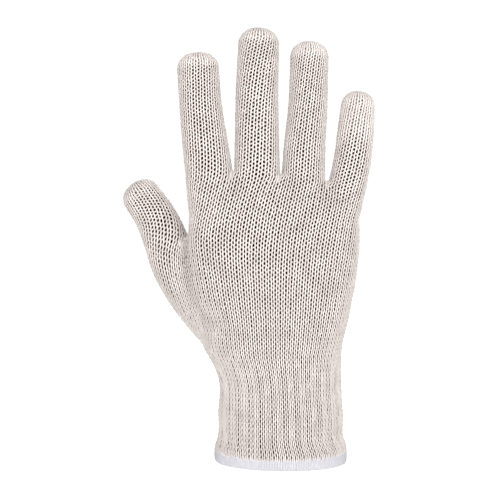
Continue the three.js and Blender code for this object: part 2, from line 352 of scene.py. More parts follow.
def even_trunk_ring(height, count, winding):
    """A ring of the wrist or palm with its points the same distance apart, along the front and then the back.

    The first point lies as far behind the -X side as the wales have wound round the hand.
    """
    dense = trunk_ring(height, front_first_angles(MEASURING_SIDES))
    length, places_at = line_through(np.concatenate([dense, dense[:1]]))
    return places_at((length * np.arange(count) / count - winding) % length)


def evenly_spaced(rings, course):
    """The same surface with its rings one row of loops apart."""
    steps = np.linalg.norm(np.diff(rings, axis=0), axis=2).mean(axis=1)
    length = np.concatenate([[0], np.cumsum(steps)])
    rows = round(length[-1] / course)
    wanted = np.linspace(0, length[-1], rows + 1)
    i = np.clip(np.searchsorted(length, wanted, side="right") - 1, 0, len(length) - 2)
    share = ((wanted - length[i]) / (length[i + 1] - length[i]))[:, None, None]
    return rings[i] * (1 - share) + rings[i + 1] * share


def activate(obj, *others):
    """Selects an object, alone or with others, and makes it the active one."""
    bpy.ops.object.select_all(action="DESELECT")
    for item in (obj, *others):
        item.select_set(True)
    bpy.context.view_layer.objects.active = obj


def join_into(obj, others):
    activate(obj, *others)
    bpy.ops.object.join()


def modify(obj, kind, **settings):
    """Adds a modifier with its settings and applies it."""
    modifier = obj.modifiers.new(kind.lower(), kind)
    for name, value in settings.items():
        setattr(modifier, name, value)
    activate(obj)
    bpy.ops.object.modifier_apply(modifier=modifier.name)


def new_object(name, mesh, materials=()):
    """An object in the scene for a mesh and its materials."""
    for material in materials:
        mesh.materials.append(material)
    obj = bpy.data.objects.new(name, mesh)
    bpy.context.scene.collection.objects.link(obj)
    return obj


def grid_faces(rows, columns, closed=True):
    """Corner numbers of the faces between rows of points, which close into rings or stay open."""
    spans = columns if closed else columns - 1
    return [
        (i * columns + j, i * columns + k, (i + 1) * columns + k, (i + 1) * columns + j)
        for i in range(rows - 1)
        for j, k in zip(range(spans), [*range(1, columns), 0])
    ]


def loft(name, rings):
    """A closed shape through rings, in metres."""
    count, sides = rings.shape[:2]
    ends = [tuple(range(sides)), tuple(range((count - 1) * sides, count * sides))]
    mesh = bpy.data.meshes.new(name)
    mesh.from_pydata((rings.reshape(-1, 3) * MM).tolist(), [], grid_faces(count, sides) + ends)
    obj = new_object(name, mesh)
    activate(obj)
    bpy.ops.object.mode_set(mode="EDIT")
    bpy.ops.mesh.select_all(action="SELECT")
    bpy.ops.mesh.remove_doubles(threshold=0.01 * MM)
    bpy.ops.mesh.normals_make_consistent(inside=False)
    bpy.ops.object.mode_set(mode="OBJECT")
    return obj


def worn_form():
    """The smooth form that the fabric lies on: fingers, thumb, palm and wrist grown into one skin."""
    angles = front_first_angles(LIMB_SIDES)
    form, *others = [loft(name, limb_rings(limb, angles, limb["rows"][0][0])) for name, limb in LIMBS.items()]
    angles = front_first_angles(TRUNK_SIDES)
    heights = np.arange(TRUNK[0][0], TRUNK[-1][0], TRUNK_STEP)
    others.append(loft("trunk", np.array([trunk_ring(z, angles) for z in heights])))
    join_into(form, others)
    modify(form, "REMESH", mode="VOXEL", voxel_size=SKIN_GRAIN * MM)
    modify(form, "SMOOTH", factor=0.5, iterations=SKIN_SOFTENING)
    return form


class Fabric:
    """The glove's grids of loop corners, laid on the form and evened out as a relaxed knit is."""

    def __init__(self):
        form = worn_form()
        self.tree = BVHTree.FromObject(form, bpy.context.evaluated_depsgraph_get())
        bpy.data.objects.remove(form)
        self.points = []
        self.grids = {}
        self.free = []
        self.level = {}
        self.lay_stalls()
        self.lay_upper_palm()
        self.lay_lower_palm()
        self.lay_cuff()
        self.places = np.array(self.points)
        self.pairs = self.neighbours()
        self.relax()
        self.outward = self.even_outward()

    def add(self, points):
        """Numbers of new grid points."""
        first = len(self.points)
        self.points.extend(points)
        return np.arange(first, len(self.points))

    def lay_stalls(self):
        """Rows of loops down each finger and the thumb, from the tip to the palm."""
        for name, limb in LIMBS.items():
            rings = limb_rings(limb, front_first_angles(WALES[name]), limb["seam"], limb["twist"])
            grid = np.array([self.add(self.on_form(ring)) for ring in evenly_spaced(rings, FINGER_COURSE)])
            self.free.extend(grid[TIP_ROWS:].ravel())
            self.grids[name] = grid

    def from_outside(self, place, outward):
        """The point of the form that is met first on the way in towards a place."""
        start = Vector((place + outward * FAR_OUTSIDE) * MM)
        hit = self.tree.ray_cast(start, Vector(-outward))[0]
        return np.array(hit) / MM if hit else place

    def between(self, top, bottom, outward_top, outward_bottom, rows):
        """Rows of new points between two rings of points, on the form."""
        grid = [top]
        for row in range(1, rows):
            share = row / rows
            ring = []
            for k, (a, b) in enumerate(zip(top, bottom)):
                place = self.points[a] * (1 - share) + self.points[b] * share
                outward = unit(outward_top[k] * (1 - share) + outward_bottom[k] * share)
                ring.append(self.from_outside(place, outward))
            grid.append(self.add(ring))
            self.free.extend(grid[-1])
        return np.array([*grid, bottom])

    @staticmethod
    def ring_outward(ring):
        """Outward directions round a ring of points, in its own plane."""
        tangent = np.roll(ring, -1, axis=0) - np.roll(ring, 1, axis=0)
        return unit(np.stack([tangent[:, 1], -tangent[:, 0], np.zeros(len(ring))], axis=1))

    def add_ring(self, height, wales, winding):
        """Numbers and outward directions of the points of an even ring round the palm or wrist."""
        ring = even_trunk_ring(height, wales, winding)
        return self.add(ring), self.ring_outward(ring)

    def join_at_fork(self, left, right, turn=0):
        """Joins the +X side of one ring to the -X side of another, where the wales between two tubes end."""
        half = len(left) // 2 + turn
        for step in (-1, 0, 1):
            kept = right[-step]
            self.points[kept] = (self.points[kept] + self.points[left[half + step]]) / 2
            left[half + step] = kept

    def lay_upper_palm(self):
        """The four fingers' last rows join: front wales from the index to the little finger, then back."""
        ends = [self.grids[name][-1] for name in FINGERS]
        for left, right in zip(ends, ends[1:]):
            self.join_at_fork(left, right)
        front = []
        back = []
        for ring in ends:
            half = len(ring) // 2
            outer_left = ring is ends[0]
            outer_right = ring is ends[-1]
            front.append(ring[0 if outer_left else 1 : half if outer_right else half - 1])
            back.insert(0, ring[half if outer_right else half + 1 : len(ring) if outer_left else -1])
        bottom, outward = self.add_ring(THUMB_FORK, UPPER_WALES, WINDING_AT_FORK)
        self.free.extend(bottom)
        rows = round((LIMBS["middle"]["seam"] - THUMB_FORK) / PALM_COURSE)
        grid = self.between(np.concatenate([*front, *back]), bottom, outward, outward, rows)
        self.grids["upper_palm"] = grid
        self.forks = [(ring[len(ring) // 2 - 1 : len(ring) // 2 + 2], grid) for ring in ends[:-1]]

    def lay_lower_palm(self):
        """The thumb's last row joins the upper palm's on its -X side."""
        thumb = self.grids["thumb"][-1]
        palm = self.grids["upper_palm"][-1]
        thumb_out = self.ring_outward(np.array([self.points[i] for i in thumb]))
        palm_out = self.ring_outward(np.array([self.points[i] for i in palm]))
        self.join_at_fork(thumb, palm, THUMB_TURN)
        half = len(thumb) // 2 + THUMB_TURN
        top = np.concatenate([thumb[: half - 1], palm[1:], thumb[half + 2 :]])
        outward_top = np.concatenate([thumb_out[: half - 1], palm_out[1:], thumb_out[half + 2 :]])
        bottom, outward = self.add_ring(CUFF_TOP, LOWER_WALES, WINDING_AT_WRIST)
        rows = round((THUMB_FORK - CUFF_TOP) / PALM_COURSE)
        grid = self.between(top, bottom, outward_top, outward, rows)
        self.grids["lower_palm"] = grid
        self.forks.append((thumb[half - 1 : half + 2], grid))

    def lay_cuff(self):
        """The lower palm's wales run straight down the wrist."""
        rows = round((CUFF_TOP - CUFF_BOTTOM) / CUFF_COURSE)
        grid = [self.grids["lower_palm"][-1]]
        for height in np.linspace(CUFF_TOP, CUFF_BOTTOM, rows + 1)[1:]:
            ring, outward = self.add_ring(height, LOWER_WALES, WINDING_AT_WRIST)
            grid.append(ring)
            self.level.update(zip(ring, outward))
        self.grids["cuff"] = np.array(grid)
        self.free.extend(grid[0])

    def neighbours(self):
        """Pairs of grid points that lie side by side or one below the other, each pair once."""
        pairs = []
        for grid in self.grids.values():
            pairs.append(np.stack([grid.ravel(), np.roll(grid, -1, axis=1).ravel()], axis=1))
            pairs.append(np.stack([grid[:-1].ravel(), grid[1:].ravel()], axis=1))
        return np.unique(np.sort(np.concatenate(pairs), axis=1), axis=0)

    def beside(self, field, pull):
        """The mean of each grid point's neighbours, with a weight for each pair of them."""
        total = np.zeros_like(field)
        weight = np.zeros(len(field))
        for a, b in ((0, 1), (1, 0)):
            np.add.at(total, self.pairs[:, a], field[self.pairs[:, b]] * pull[:, None])
            np.add.at(weight, self.pairs[:, a], pull)
        return total / np.maximum(weight, 1e-9)[:, None]

    def relax(self):
        """Each free point moves to the middle of its neighbours, and back on to the form.

        Stretched loops pull harder, so that a strain spreads over many of them.
        """
        free = np.intersect1d(self.free, self.pairs)
        held = [fork[1] for fork, _ in self.forks[:-1]] + self.forks[-1][0].tolist()
        for _ in range(RELAX_ROUNDS):
            length = np.linalg.norm(self.places[self.pairs[:, 0]] - self.places[self.pairs[:, 1]], axis=1)
            pulled = self.beside(self.places, length)
            moved = self.places + RELAX_STEP * (pulled - self.places)
            self.places[free] = self.clear_of_form(moved[free])
            self.places[held] = self.on_form(self.places[held])

    def even_outward(self):
        """Outward directions at the grid points, the same for every tube that shares a point."""
        outward = np.array([self.tree.find_nearest(Vector(p))[1] for p in self.places * MM])
        outward[list(self.level)] = np.array(list(self.level.values()))
        for _ in range(OUTWARD_ROUNDS):
            outward = unit(outward + self.beside(outward, np.ones(len(self.pairs))))
        return outward

    def on_form(self, places):
        """The nearest places on the form."""
        found = [self.tree.find_nearest(Vector(p))[0] for p in places.reshape(-1, 3) * MM]
        return np.array(found).reshape(places.shape) / MM

    def clear_of_form(self, places):
        """Places inside the form come out to its surface, and fabric that spans a hollow stays as it is."""
        moved = []
        for place in places.reshape(-1, 3) * MM:
            place = Vector(place)
            nearest, normal = self.tree.find_nearest(place)[:2]
            moved.append(place if (place - nearest).dot(normal) > 0 else nearest)
        return np.array(moved).reshape(places.shape) / MM


@cache
def fabric():
    """The fabric is laid once, when the first piece needs it."""
    return Fabric()


def random_numbers(name):
    return np.random.default_rng([RANDOM_SEED, *name.encode()])


ROWS_FINE = 2
WALES_FINE = 3


def finer(field, axis, times, closed):
    """A field with more points along one axis, on a smooth curve through those it has."""
    field = np.moveaxis(field, axis, 0)
    count = len(field)
    last = count if closed else count - 1
    at = np.arange(last * times + (0 if closed else 1)) / times
    i = np.minimum(at.astype(int), last - 1)
    t = (at - i).reshape(-1, *[1] * (field.ndim - 1))

    def pick(index):
        return field[index % count] if closed else field[np.clip(index, 0, count - 1)]

    a, b, c, d = (pick(i + k) for k in (-1, 0, 1, 2))
    if not closed:
        a = np.where((i == 0).reshape(t.shape), 2 * b - c, a)
        d = np.where((i == last - 1).reshape(t.shape), 2 * c - b, d)
    curve = b + (c - a) * t / 2 + (a - 2.5 * b + 2 * c - d / 2) * t**2 + (1.5 * (b - c) + (d - a) / 2) * t**3
    return np.moveaxis(curve, 0, axis)


class Tube:
    """One knitted tube: its surface, and the outward direction at each place."""

    def __init__(self, laid, name):
        grid = laid.grids[name]
        self.rows = grid.shape[0] - 1
        self.wales = grid.shape[1]
        self.closed_rows = LIMBS[name]["closed_rows"] if name in LIMBS else None
        self.places = self.fine(laid.places[grid])
        if name != "cuff":
            self.places = laid.clear_of_form(self.places)
        self.outward = unit(self.fine(laid.outward[grid]))
        around = np.roll(self.places, -1, axis=1) - np.roll(self.places, 1, axis=1)
        self.spacing = np.linalg.norm(around, axis=2, keepdims=True) * WALES_FINE / 2

    @staticmethod
    def fine(field):
        return finer(finer(field, 1, WALES_FINE, True), 0, ROWS_FINE, False)

    def sample(self, field, wale, row):
        """A field at fractional places on the tube, carried on straight past its ends."""
        wale = wale * WALES_FINE
        row = row * ROWS_FINE
        r = np.clip(np.floor(row).astype(int), 0, field.shape[0] - 2)
        c = np.floor(wale).astype(int)
        down = (row - r)[..., None]
        along = (wale - c)[..., None]
        left, right = c % field.shape[1], (c + 1) % field.shape[1]
        upper, lower = [field[i, left] * (1 - along) + field[i, right] * along for i in (r, r + 1)]
        return upper * (1 - down) + lower * down


STANDS_PROUD = 0.1  # millimetres from the form out to the middle of the string's outermost stretch
SIDEWAYS_UNEVEN = 0.5  # how much of the unevenness shows in a loop's place along its row
OUTWARD_UNEVEN = 1.2  # and in how far it stands out, in millimetres
RIB_START = 0.25  # place of the first groove, in wales
RIB_DRAW = 0.06  # how far a rib's wales move together, in wales
RIB_SHARPNESS = 3  # power that narrows the grooves and widens the ribs
RIB_ONSET = 5  # rows over which the ribs grow from the palm's plain knit
TIP_FULLNESS = 1.65  # how much more of its wale the string fills in the closed rows of a fingertip
NARROWEST_WALE = 0.2  # millimetres, where the wales run together over a fingertip
LOOP_STEPS = 10  # points in one loop
STRING_SIDES = 5  # points round the string


def yarn_lines(tube, knit, first, last, ribbed, rng):
    """Rows of loops from one wale to another: centre lines, outward directions, widths, and if they close."""
    wales = last - first
    closed = wales == tube.wales
    rise = knit.loop_rise / MM
    t = FULL_TURN * np.arange(LOOP_STEPS) / LOOP_STEPS
    row = np.arange(tube.rows)[:, None, None]
    wale = np.arange(first, last)[None, :, None]
    uneven = rng.normal(0, knit.unevenness, (4, tube.rows, wales, 1))
    bulge = np.sin(t / 2) ** 2
    swing = knit.loop_swing * (1 + uneven[0])
    u = wale + t / FULL_TURN + swing * np.sin(2 * t) + knit.loop_pinch * np.sin(t)
    u = u + SIDEWAYS_UNEVEN * uneven[1] * bulge
    v = row + 0.5 - knit.loop_reach * np.cos(t) + uneven[2] * bulge
    height = -rise * np.cos(2 * t) + OUTWARD_UNEVEN * uneven[3] * bulge - rise + STANDS_PROUD
    if ribbed:
        turn = FULL_TURN * (u - RIB_START) / WALES_IN_A_RIB
        onset = np.clip(v / RIB_ONSET, 0, 1) ** 2
        height = height - onset * knit.rib_depth / MM * (0.5 + 0.5 * np.cos(turn)) ** RIB_SHARPNESS
        u = u + RIB_DRAW * onset * np.sin(turn)
    lines = [line.reshape(tube.rows, -1) for line in (u, v, height)]
    if not closed:
        ends = [np.full((tube.rows, 1), float(last)), lines[1][:, :1], lines[2][:, :1]]
        lines = [np.concatenate([line, end], axis=1) for line, end in zip(lines, ends)]
    u, v, height = lines
    surface = tube.sample(tube.places, u, v)
    outward = unit(tube.sample(tube.outward, u, v))
    full = np.ones_like(v)
    if tube.closed_rows:
        filled, thinned = tube.closed_rows
        full += (TIP_FULLNESS - 1) * np.clip((thinned - v) / (thinned - filled), 0, 1)
    # String keeps its own width, so it fills a slack wale more and a stretched one less
    spacing = np.maximum(tube.sample(tube.spacing, u, v), NARROWEST_WALE)
    wale_width = np.sqrt(spacing * knit.even_wale / MM)
    width = np.minimum(wale_width * knit.string_share * full[..., None], knit.string_width / MM)
    return surface + outward * height[..., None], outward, width, closed


def strand_arrays(centres, outward, width, closed, flatness, sides):
    """Vertices, faces, string coordinates and end caps of strands swept along lines, in one array each."""
    count, steps = centres.shape[:2]
    if closed:
        tangent = unit(np.roll(centres, -1, axis=1) - np.roll(centres, 1, axis=1))
    else:
        tangent = unit(np.gradient(centres, axis=1))
    across = unit(np.cross(tangent, outward))
    over = np.cross(across, tangent)
    angle = FULL_TURN * np.arange(sides) / sides
    half = width[..., None] / 2
    points = (
        centres[:, :, None]
        + across[:, :, None] * np.cos(angle)[:, None] * half
        + over[:, :, None] * np.sin(angle)[:, None] * half * flatness
    )
    ids = np.arange(count * steps * sides).reshape(count, steps, sides)
    here, there = (ids, np.roll(ids, -1, axis=1)) if closed else (ids[:, :-1], ids[:, 1:])
    quads = np.stack([here, np.roll(here, -1, axis=2), np.roll(there, -1, axis=2), there], axis=-1)
    caps = ids[:0, 0] if closed else np.concatenate([ids[:, 0, ::-1], ids[:, -1]])
    run = np.linalg.norm(np.diff(centres, axis=1), axis=2).mean()
    coordinates = np.empty((*quads.shape, 2))
    coordinates[..., 0] = (np.arange(quads.shape[1])[:, None, None] + np.array([0, 0, 1, 1])) * run
    coordinates[..., 1] = (np.arange(sides)[:, None] + np.array([0, 1, 1, 0])) / sides
    return points.reshape(-1, 3), quads.reshape(-1, 4), coordinates.reshape(-1, 2), caps


def mesh_object(name, strands, materials):
    """An object from arrays of strands in millimetres, smooth shaded, with string coordinates in a UV map."""
    arrays = []
    offset = 0
    for points, quads, coordinates, caps in strands:
        arrays.append((points, quads + offset, coordinates, caps + offset))
        offset += len(points)
    points, quads, coordinates, caps = [np.concatenate(parts) for parts in zip(*arrays)]
    mesh = bpy.data.meshes.new(name)
    mesh.vertices.add(len(points))
    mesh.vertices.foreach_set("co", (points * MM).astype(np.float32).ravel())
    corners = np.concatenate([quads.ravel(), caps.ravel()])
    mesh.loops.add(len(corners))
    mesh.loops.foreach_set("vertex_index", corners.astype(np.int32))
    sizes = np.repeat([4, caps.shape[1]], [len(quads), len(caps)])
    mesh.polygons.add(len(sizes))
    mesh.polygons.foreach_set("loop_start", (np.cumsum(sizes) - sizes).astype(np.int32))
    mesh.polygons.foreach_set("use_smooth", np.ones(len(sizes), bool))
    layer = mesh.uv_layers.new(name="String")
    flat = np.concatenate([coordinates, np.zeros((caps.size, 2))])
    layer.data.foreach_set("uv", flat.astype(np.float32).ravel())
    mesh.update(calc_edges=True)
    mesh.validate()
    return new_object(name, mesh, materials)


INNER_SHEET_DEPTH = 1.95  # millimetres from the outside of the fabric to the sheet behind the loops, which stands for its inner face and has painted shadow on its outer side
INNER_THICKNESS = 0.4
RIB_EXTRA = 0.5  # how much thicker the ribbed fabric is


def inner_sheet(tube, first, last, depth, materials):
    """A thin sheet behind the loops: inside, the fabric's inner face, where the backs of the loops close up;
    outside, painted shadow that darkens the gaps between the loops.
    """
    closed = last - first == tube.wales
    columns = np.arange(first, last + (0 if closed else 1)) * WALES_FINE % tube.places.shape[1]
    points = tube.places[::ROWS_FINE][:, columns] - tube.outward[::ROWS_FINE][:, columns] * depth
    facing_out = [(a, d, c, b) for a, b, c, d in grid_faces(*points.shape[:2], closed)]
    mesh = bpy.data.meshes.new("inner_face_and_painted_shadow")
    mesh.from_pydata((points.reshape(-1, 3) * MM).tolist(), [], facing_out)
    sheet = new_object("inner_face_and_painted_shadow", mesh, materials)
    # The sheet's outer side carries the painted shadow, and Solidify gives its inner side the purl face
    mesh.polygons.foreach_set("material_index", np.ones(len(mesh.polygons), np.int32))
    thickness = INNER_THICKNESS * MM
    modify(sheet, "SOLIDIFY", thickness=thickness, offset=-1, material_offset=1, material_offset_rim=1)
    bpy.ops.object.shade_smooth()
    return sheet


# The string wrapped round the ends of the wales at a fork, in millimetres
FORK_WRAP_PITCH = 1.15
FORK_WRAP_REACH = 1.8  # to either side
FORK_WRAP_END = 0.25  # share of that reach at both ends of the wrapping
FORK_WRAP_TAPER = 5  # how fast the reach grows from there
FORK_WRAP_RISE = 0.5  # how far each turn rises and falls
FORK_WRAP_DEPTH = 0.8  # how deep the turns lie below the form
FORK_WRAP_STEPS = 12  # points in one turn
FORK_PATH_FINE = 16  # points from one knot of the path to the next


def fork_wraps(knit):
    """At each fork the maker wraps string round the ends of the wales, from the front to the back."""
    laid = fabric()
    strands = []
    for fork, grid in laid.forks:
        front, back = [grid[1, np.where(grid[0] == fork[end])[0][0]] for end in (0, 2)]
        path = laid.clear_of_form(finer(laid.places[[front, *fork, back]], 0, FORK_PATH_FINE, False))
        length, places_at = line_through(path)
        turns = round(length / FORK_WRAP_PITCH)
        share = np.linspace(0, 1, turns * FORK_WRAP_STEPS)
        centre = places_at(share * length)
        outward = np.array([laid.tree.find_nearest(Vector(p))[1] for p in centre * MM])
        across = unit(np.cross(unit(np.gradient(centre, axis=0)), outward))
        turn = FULL_TURN * turns * share
        reach = np.minimum(1, FORK_WRAP_TAPER * np.minimum(share, 1 - share) + FORK_WRAP_END)
        aside = FORK_WRAP_REACH * reach * np.cos(turn)
        out = FORK_WRAP_RISE * np.sin(turn) - FORK_WRAP_DEPTH
        line = centre + across * aside[:, None] + outward * out[:, None]
        width = np.full((1, len(share), 1), knit.string_width / MM)
        strands.append(
            strand_arrays(line[None], outward[None], width, False, knit.string_flatness, STRING_SIDES)
        )
    return mesh_object("fork_wraps", strands, string_materials(knit))


def finish_piece(obj, slot, *nodes):
    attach(obj, BODY)
    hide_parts(*nodes)


def knit_part(piece, tube_names, knit, half=None, ribbed=False):
    """Loops of one piece, and the sheet behind them with the inner face inside and painted shadow outside.
    half is 0 for the front wales, 1 for the back, or None for all.
    """
    materials = string_materials(knit)
    strands = []
    sheets = []
    for name in tube_names:
        tube = Tube(fabric(), name)
        middle = tube.wales // 2
        first, last = {None: (0, tube.wales), 0: (0, middle), 1: (middle, tube.wales)}[half]
        lines = yarn_lines(tube, knit, first, last, ribbed, random_numbers(piece + name))
        strands.append(strand_arrays(*lines, knit.string_flatness, STRING_SIDES))
        sheets.append(inner_sheet(tube, first, last, INNER_SHEET_DEPTH + (RIB_EXTRA if ribbed else 0), materials))
    obj = mesh_object(piece, strands, materials)
    join_into(obj, sheets)
    return obj


def set_inputs(tree, node, inputs):
    """Sets inputs to values, or links them to an output or to the first output in use of a node."""
    for name, value in inputs.items():
        if isinstance(value, bpy.types.Node):
            value = next(output for output in value.outputs if output.enabled)
        if isinstance(value, bpy.types.NodeSocket):
            tree.links.new(value, node.inputs[name])
        else:
            node.inputs[name].default_value = value


def add_node(tree, kind, inputs=None, **settings):
    """A node with its settings, and its inputs set to values or linked to other nodes."""
    node = tree.nodes.new("ShaderNode" + kind)
    for name, value in settings.items():
        setattr(node, name, value)
    set_inputs(tree, node, inputs or {})
    return node


def set_stops(ramp, interpolation, stops):
    """Gives a colour ramp its stops, each a position and a colour."""
    ramp.interpolation = interpolation
    while len(ramp.elements) < len(stops):
        ramp.elements.new(0.5)
    for element, (position, colour) in zip(ramp.elements, stops):
        element.position = position
        element.color = colour


def new_material(name):
    """An empty node material with its surface shader, and the shader's tree."""
    material = bpy.data.materials.new(name)
    material.use_nodes = True
    tree = material.node_tree
    tree.nodes.clear()
    shader = add_node(tree, "BsdfPrincipled")
    add_node(tree, "OutputMaterial", {"Surface": shader})
    return material, tree, shader


@cache
def string_materials(knit):
    """The three materials that all knitted pieces share."""
    return [cotton_string(knit), fabric_shadow(knit), purl_face(knit)]


def cotton_string(knit):
    """Soft-spun cotton and polyester string of several loose ends: matt, hairy and streaked lengthwise."""
    material, tree, shader = new_material("cotton_string")
    uv = add_node(tree, "UVMap", uv_map="String")
    place = add_node(tree, "TexCoord").outputs["Object"]
    # Streaks about 2.5 mm long, a sixth of the way round the string from each other
    stretched = add_node(tree, "Mapping", {"Vector": uv, "Scale": (0.4, 6.0, 1.0), "Rotation": (0, 0, 0.12)})
    ends = add_node(tree, "TexNoise", {"Vector": stretched, "Scale": 1.0, "Detail": 3.0})
    # Patches about 7 mm across, where the string's fibres are a little greyer
    patches = add_node(tree, "TexNoise", {"Vector": place, "Scale": 1 / (7 * MM), "Detail": 2.0})
    # Stray fibres about a fifth of a millimetre apart
    fibres = add_node(tree, "TexNoise", {"Vector": place, "Scale": 1 / (0.2 * MM), "Detail": 2.0})
    # Painted shade: the string's colour is darkened on its flanks and back, which lie deep in the fabric,
    # where hardly any light reaches its fibres
    round_string = add_node(tree, "SeparateXYZ", {"Vector": uv}).outputs["Y"]
    depth = add_node(tree, "ValToRGB", {"Fac": round_string})
    painted_flank_shade = srgb("7C7372")
    stops = ((0.0, painted_flank_shade), (0.25, WHITE), (0.5, painted_flank_shade), (0.75, srgb("5A504C")), (1.0, painted_flank_shade))
    set_stops(depth.color_ramp, "B_SPLINE", stops)
    blend = add_node(tree, "Math", {0: ends, 1: patches}, operation="MULTIPLY")
    spread = add_node(tree, "MapRange", {"Value": blend, "From Min": 0.12, "From Max": 0.42})
    colours = {"Factor": spread, "A": knit.string_shade[:], "B": knit.string_colour[:]}
    colour = add_node(tree, "Mix", colours, data_type="RGBA")
    # The string's colour multiplied by the painted shade round it
    layers = {"Factor": 1.0, "A": colour, "B": depth}
    shaded = add_node(tree, "Mix", layers, data_type="RGBA", blend_type="MULTIPLY")
    height = add_node(tree, "Math", {0: fibres, 1: 0.5, 2: ends}, operation="MULTIPLY_ADD")
    bump = add_node(tree, "Bump", {"Height": height, "Strength": 0.6, "Distance": 0.22 * MM})
    matt = {"Roughness": 0.92, "Specular IOR Level": 0.25, "Sheen Weight": 0.03, "Sheen Roughness": 0.6}
    set_inputs(tree, shader, {"Base Color": shaded, "Normal": bump, **matt})
    return material


def fabric_shadow(knit):
    """Painted shadow for the depth between loops, on the outer side of the sheet behind them: matt and dark,
    because hardly any light gets in or out there.
    """
    material, tree, shader = new_material("shadow_between_loops")
    place = add_node(tree, "TexCoord").outputs["Object"]
    # Painted shadow, mottled between two dark browns
    depth = add_node(tree, "TexNoise", {"Vector": place, "Scale": 1 / (1.5 * MM), "Detail": 1.0})
    colours = {"Factor": depth, "A": srgb("1E1512"), "B": knit.painted_shadow_colour[:]}
    colour = add_node(tree, "Mix", colours, data_type="RGBA")
    set_inputs(tree, shader, {"Base Color": colour, "Roughness": 1.0, "Specular IOR Level": 0.0})
    return material


def purl_face(knit):
    """The fabric's inner face: the same string seen from behind, in low cross-lying bumps, with painted shade
    in the hollows between them.
    """
    material, tree, shader = new_material("purl_face_of_string")
    place = add_node(tree, "TexCoord").outputs["Object"]
    widened = add_node(tree, "Mapping", {"Vector": place, "Scale": (0.6, 0.6, 1.0)})
    grid = {"Vector": widened, "Scale": 1 / (2.1 * MM), "Randomness": 0.5}
    bumps = add_node(tree, "TexVoronoi", grid, feature="SMOOTH_F1")
    # The hollows between the bumps are darker: painted shade
    colours = {"Factor": bumps, "A": knit.string_colour[:], "B": srgb("A89C92")}
    colour = add_node(tree, "Mix", colours, data_type="RGBA")
    relief = {"Height": bumps, "Strength": 0.9, "Distance": 0.8 * MM}
    bump = add_node(tree, "Bump", relief, invert=True)
    set_inputs(tree, shader, {"Base Color": colour, "Normal": bump, "Roughness": 0.95})
    return material


def overlock_thread(hem):
    """Bleached bulked polyester thread: white with a cold cast, matt, streaked along each stitch."""
    material, tree, shader = new_material("overlock_thread")
    uv = add_node(tree, "UVMap", uv_map="String")
    stretched = add_node(tree, "Mapping", {"Vector": uv, "Scale": (0.5, 7.0, 1.0)})
    fibres = add_node(tree, "TexNoise", {"Vector": stretched, "Scale": 1.0, "Detail": 3.0})
    colours = {"Factor": fibres, "A": srgb("98989D"), "B": hem.thread_colour[:]}
    colour = add_node(tree, "Mix", colours, data_type="RGBA")
    bump = add_node(tree, "Bump", {"Height": fibres, "Strength": 0.5, "Distance": 0.2 * MM})
    matt = {"Roughness": 0.9, "Specular IOR Level": 0.25, "Sheen Weight": 0.03}
    set_inputs(tree, shader, {"Base Color": colour, "Normal": bump, **matt})
    return material


class GLOVE_OT_knit_stalls(Operator):
    """Knit the stalls of the four fingers and the thumb, each closed over its tip"""

    bl_idname = "glove.knit_stalls"
    bl_label = "Knit Stalls"

    def execute(self, context):
        for name in LIMBS:
            piece = knit_part(f"{name}_stall_knit", [name], context.scene.glove_knit)
            finish_piece(piece, "string_knit", f"{name}_stall")
        return {"FINISHED"}


class GLOVE_OT_knit_palm(Operator):
    """Knit the hand in two halves that meet at its sides: the back of the hand and the palm side"""

    bl_idname = "glove.knit_palm"
    bl_label = "Knit Palm"

    def execute(self, context):
        knit = context.scene.glove_knit
        for half, name in enumerate(("hand_back_knit", "hand_palm_knit")):
            piece = knit_part(name, ["upper_palm", "lower_palm"], knit, half=half)
            if half == 0:
                join_into(piece, [fork_wraps(knit)])
            finish_piece(piece, "string_knit", "palm_body")
        return {"FINISHED"}


class GLOVE_OT_knit_cuff(Operator):
    """Knit the ribbed wrist, whose elastic draws the wales together in threes"""

    bl_idname = "glove.knit_cuff"
    bl_label = "Knit Ribbed Wrist"

    def execute(self, context):
        piece = knit_part("wrist_cuff_rib", ["cuff"], context.scene.glove_knit, ribbed=True)
        finish_piece(piece, "ribbed_knit", "wrist_cuff")
        return {"FINISHED"}


# The overlocked hem is a rounded band with its stitches wrapped round it
HEM_WIDTH = 74.4
HEM_DEPTH = 50.6
HEM_HEIGHT = 5.6
HEM_THICKNESS = 3.4
HEM_STITCHES = 156
HEM_STEPS = 18  # points along one stitch
HEM_SIDES = 6  # points round the thread
HEM_SQUARENESS = 2.6  # roundness of the band that each stitch runs round
HEM_OVERLAP = 1.9  # how far its stitches reach up over the knit
HEM_SIDE_RISE = (0.9, 2.2)  # and how much further at its -X and +X sides
HEM_SIDE_POWER = 8  # which keeps that rise close to the sides
HEM_LEAN = 0.45  # how much lower its +X side hangs than its middle

# How much stitches differ: millimetres out from the band and at their upper ends, and shares of one aside
HEM_WOBBLE = 0.12
HEM_RAGGED = 0.65
HEM_ASIDE = 0.15
HEM_MOST_ASIDE = 0.18


